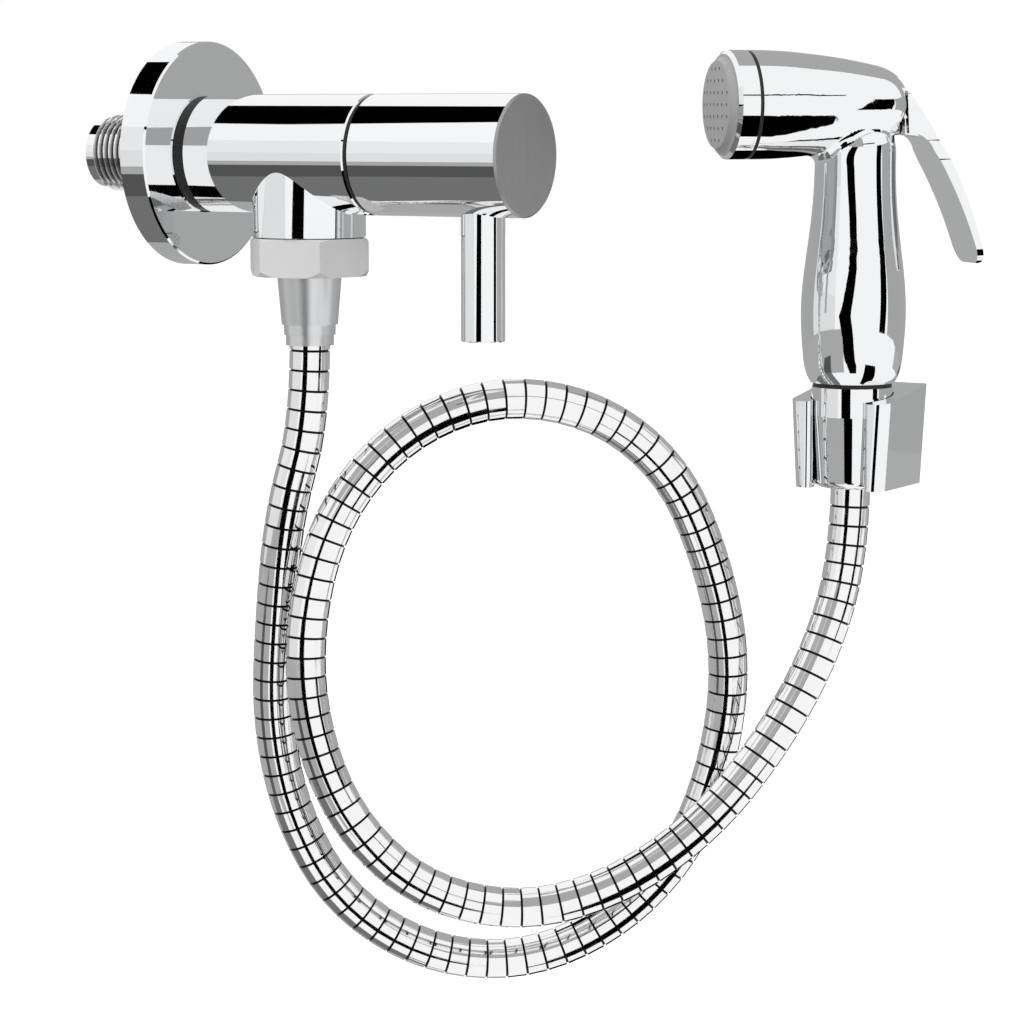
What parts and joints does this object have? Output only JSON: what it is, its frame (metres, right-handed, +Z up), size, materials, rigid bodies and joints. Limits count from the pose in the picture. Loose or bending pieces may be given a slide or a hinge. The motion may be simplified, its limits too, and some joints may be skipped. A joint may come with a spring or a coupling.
{
  "type": "bidet shower kit",
  "caption": "Quarter-turn wall valve with a ribbed metal hose, a trigger hand spray and the wall holder that the spray hangs in.",
  "frame": {"origin": "on the valve axis in the plane of the wall behind its flange", "axes": "+X out of the valve's wall along the valve axis, +Z up, +Y towards the holder's wall, which meets the valve's wall in a corner"},
  "size_m": [0.2168, 0.1534, 0.2617],
  "materials": {
    "chrome": "polished chrome plate",
    "valve_casting": "polished chrome plate on brass",
    "brass": "turned brass",
    "steel": "stainless steel",
    "hose_steel": "bright wound stainless strip",
    "nut_plastic": "satin light grey",
    "face_plastic": "satin grey",
    "chromed_plastic": "chrome plated plastic",
    "ceramic": "lapped ceramic",
    "black_rubber": "black rubber",
    "clear_hose": "soft inner tube",
    "white_plastic": "moulded plastic"
  },
  "bodies": {
    "fixed": {"wall_flange": "chrome", "flange_gasket": "black_rubber", "valve_body": "valve_casting", "seat_seal": "black_rubber", "fixed_ceramic_disc": "ceramic", "cartridge_sleeve": "white_plastic", "spindle_o_ring": "black_rubber", "seam_ring": "black_rubber", "outlet_nut": "nut_plastic", "outlet_washer": "black_rubber", "valve_end_barb": "brass", "valve_end_ferrule": "chromed_plastic", "hose_armour": "hose_steel", "hose_liner": "clear_hose", "holder": "chromed_plastic"},
    "knob": {"knob": "chrome", "knob_insert": "white_plastic", "lever_pin": "chrome", "spindle": "brass", "spindle_circlip": "steel", "turning_ceramic_disc": "ceramic"},
    "hose_end": {"cone_washer": "black_rubber", "handset_end_barb": "brass", "handset_end_ferrule": "steel"},
    "handset": {"handset_body": "chromed_plastic", "cone_nut": "chromed_plastic", "collar_seal": "black_rubber", "nozzle_ring": "chromed_plastic", "nozzle_seal": "black_rubber", "spray_face": "face_plastic", "stem_gland": "brass", "stem_o_ring": "black_rubber", "spring_retainer": "white_plastic", "return_spring": "steel", "trigger_pin": "steel"},
    "trigger": {"trigger_lever": "chromed_plastic"},
    "plunger": {"plunger": "brass", "plunger_seal": "black_rubber"}
  },
  "joints": [
    {"name": "valve_turn", "type": "hinge", "parent": "fixed", "child": "knob", "pos_m": [0.084, 0, 0], "axis": [-1, 0, 0], "range_deg": [0, 90]},
    {"name": "handset_lift", "type": "slide", "parent": "fixed", "child": "hose_end", "axis": [0, 0, 1], "range_m": [0, 0.04]},
    {"name": "handset_swivel", "type": "hinge", "parent": "hose_end", "child": "handset", "pos_m": [0.1583, 0.0926, -0.07], "axis": [0, 0, 1], "continuous": true},
    {"name": "trigger_pull", "type": "hinge", "parent": "handset", "child": "trigger", "pos_m": [0.16438, 0.09868, 0.016], "axis": [-0.7071, 0.7071, 0], "range_deg": [0, 14], "stiffness_Nm_per_rad": 0.4, "springref_deg": -14.32},
    {"name": "plunger_travel", "type": "slide", "parent": "handset", "child": "plunger", "axis": [-0.7071, -0.7071, 0], "range_m": [0, 0.0026], "deforming": ["return_spring"]}
  ],
  "couplings": [
    {"joint": "plunger_travel", "follows": "trigger_pull", "m_per_rad": 0.0101}
  ]
}
